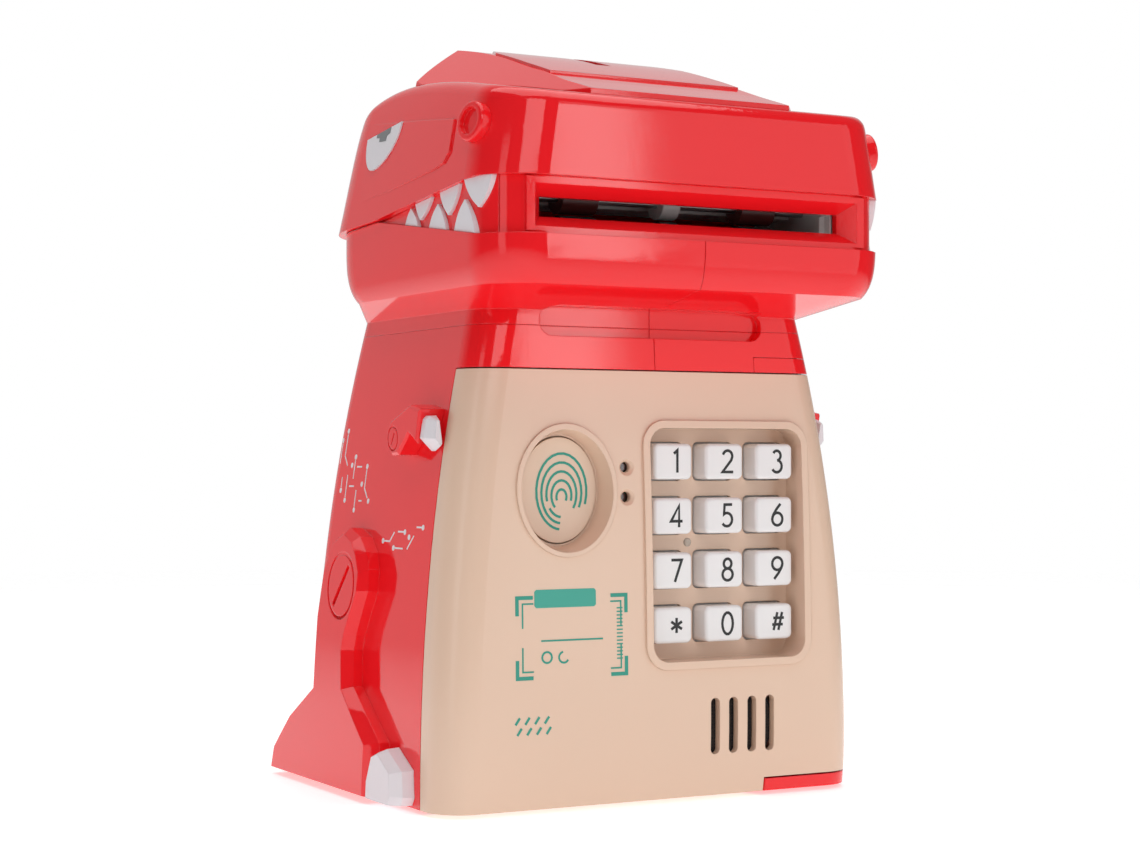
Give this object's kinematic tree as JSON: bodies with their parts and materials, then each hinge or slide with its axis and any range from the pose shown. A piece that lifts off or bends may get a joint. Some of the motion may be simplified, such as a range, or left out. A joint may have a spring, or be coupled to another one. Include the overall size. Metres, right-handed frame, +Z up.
{
  "type": "toy savings bank",
  "caption": "Dinosaur-shaped electronic money bank: a red body and head with a motor-fed banknote slot in the mouth, and a hinged beige door with a keypad.",
  "frame": {"origin": "centre of the bounding box at the level of the rubber feet", "axes": "+Z up, the keypad door faces -Y, +X to the viewer's right"},
  "size_m": [0.1332, 0.1324, 0.1977],
  "materials": {
    "red_shell": "gloss",
    "beige_door": "gloss",
    "claw_white": "satin",
    "key_white": "gloss",
    "button_beige": "satin",
    "steel": "brushed",
    "foot_rubber": "matte",
    "frame_white": "matte",
    "motor_can": "satin",
    "board_green": "satin",
    "black_plastic": "matte",
    "lamp_dark": "gloss"
  },
  "bodies": {
    "bank": {"arm_left": "red_shell", "arm_right": "red_shell", "base_plate": "red_shell", "battery_box": "black_plastic", "battery_cells": "motor_can", "battery_contacts": "steel", "battery_cover": "red_shell", "battery_cover_screw": "steel", "body_left_shell": "red_shell", "body_right_shell": "red_shell", "body_screws": "steel", "claws": "claw_white", "coin_plate": "red_shell", "eyes": "claw_white", "feed_frame": "frame_white", "feed_motor": "motor_can", "head_crest": "red_shell", "head_upper_shell": "red_shell", "hinge_block": "red_shell", "latch_bracket": "steel", "latch_solenoid": "motor_can", "lower_jaw_left": "red_shell", "lower_jaw_right": "red_shell", "main_board": "board_green", "mouth_band": "red_shell", "nostril_rings": "red_shell", "rubber_feet": "foot_rubber", "slot_bezel": "red_shell", "teeth": "claw_white", "toes": "claw_white"},
    "door": {"door_shell": "beige_door", "hinge_pins": "steel", "door_liner": "beige_door", "door_screws": "steel", "key_membrane": "foot_rubber", "keypad_board": "board_green", "led_lamps": "lamp_dark", "speaker": "black_plastic", "door_catch": "frame_white"},
    "fingerprint_button": {"fingerprint_button": "button_beige"},
    "latch_bolt": {"latch_bolt": "steel"},
    "feed_roller": {"feed_shaft": "steel", "feed_rollers": "foot_rubber", "roller_gear": "frame_white"},
    "idler_roller": {"idler_shaft": "steel", "idler_rollers": "frame_white"},
    "motor_pinion": {"motor_pinion": "frame_white"},
    "key_1": {"key_1": "key_white"},
    "key_2": {"key_2": "key_white"},
    "key_3": {"key_3": "key_white"},
    "key_4": {"key_4": "key_white"},
    "key_5": {"key_5": "key_white"},
    "key_6": {"key_6": "key_white"},
    "key_7": {"key_7": "key_white"},
    "key_8": {"key_8": "key_white"},
    "key_9": {"key_9": "key_white"},
    "key_star": {"key_star": "key_white"},
    "key_0": {"key_0": "key_white"},
    "key_hash": {"key_hash": "key_white"}
  },
  "joints": [
    {"name": "door_hinge", "type": "hinge", "parent": "bank", "child": "door", "pos_m": [0.0475, -0.0355, 0.06], "axis": [0, 0, 1], "range_deg": [0, 100]},
    {"name": "fingerprint_press", "type": "slide", "parent": "door", "child": "fingerprint_button", "axis": [0, 1, 0], "range_m": [0, 0.001], "stiffness_N_per_m": 400, "springref_m": -0.001},
    {"name": "latch_slide", "type": "slide", "parent": "bank", "child": "latch_bolt", "axis": [-1, 0, 0], "range_m": [0, 0.003], "stiffness_N_per_m": 40, "springref_m": -0.002},
    {"name": "roller_spin", "type": "hinge", "parent": "bank", "child": "feed_roller", "pos_m": [0, -0.046, 0.1421], "axis": [1, 0, 0], "continuous": true},
    {"name": "idler_spin", "type": "hinge", "parent": "bank", "child": "idler_roller", "pos_m": [0, -0.046, 0.1515], "axis": [1, 0, 0], "continuous": true},
    {"name": "pinion_spin", "type": "hinge", "parent": "bank", "child": "motor_pinion", "pos_m": [0, -0.03404, 0.13373], "axis": [1, 0, 0], "continuous": true},
    {"name": "press_1", "type": "slide", "parent": "door", "child": "key_1", "axis": [0, 1, 0], "range_m": [0, 0.0012], "stiffness_N_per_m": 400, "springref_m": -0.001},
    {"name": "press_2", "type": "slide", "parent": "door", "child": "key_2", "axis": [0, 1, 0], "range_m": [0, 0.0012], "stiffness_N_per_m": 400, "springref_m": -0.001},
    {"name": "press_3", "type": "slide", "parent": "door", "child": "key_3", "axis": [0, 1, 0], "range_m": [0, 0.0012], "stiffness_N_per_m": 400, "springref_m": -0.001},
    {"name": "press_4", "type": "slide", "parent": "door", "child": "key_4", "axis": [0, 1, 0], "range_m": [0, 0.0012], "stiffness_N_per_m": 400, "springref_m": -0.001},
    {"name": "press_5", "type": "slide", "parent": "door", "child": "key_5", "axis": [0, 1, 0], "range_m": [0, 0.0012], "stiffness_N_per_m": 400, "springref_m": -0.001},
    {"name": "press_6", "type": "slide", "parent": "door", "child": "key_6", "axis": [0, 1, 0], "range_m": [0, 0.0012], "stiffness_N_per_m": 400, "springref_m": -0.001},
    {"name": "press_7", "type": "slide", "parent": "door", "child": "key_7", "axis": [0, 1, 0], "range_m": [0, 0.0012], "stiffness_N_per_m": 400, "springref_m": -0.001},
    {"name": "press_8", "type": "slide", "parent": "door", "child": "key_8", "axis": [0, 1, 0], "range_m": [0, 0.0012], "stiffness_N_per_m": 400, "springref_m": -0.001},
    {"name": "press_9", "type": "slide", "parent": "door", "child": "key_9", "axis": [0, 1, 0], "range_m": [0, 0.0012], "stiffness_N_per_m": 400, "springref_m": -0.001},
    {"name": "press_star", "type": "slide", "parent": "door", "child": "key_star", "axis": [0, 1, 0], "range_m": [0, 0.0012], "stiffness_N_per_m": 400, "springref_m": -0.001},
    {"name": "press_0", "type": "slide", "parent": "door", "child": "key_0", "axis": [0, 1, 0], "range_m": [0, 0.0012], "stiffness_N_per_m": 400, "springref_m": -0.001},
    {"name": "press_hash", "type": "slide", "parent": "door", "child": "key_hash", "axis": [0, 1, 0], "range_m": [0, 0.0012], "stiffness_N_per_m": 400, "springref_m": -0.001}
  ],
  "couplings": [
    {"joint": "pinion_spin", "follows": "roller_spin", "ratio": -3},
    {"joint": "idler_spin", "follows": "roller_spin", "ratio": -1.25}
  ]
}
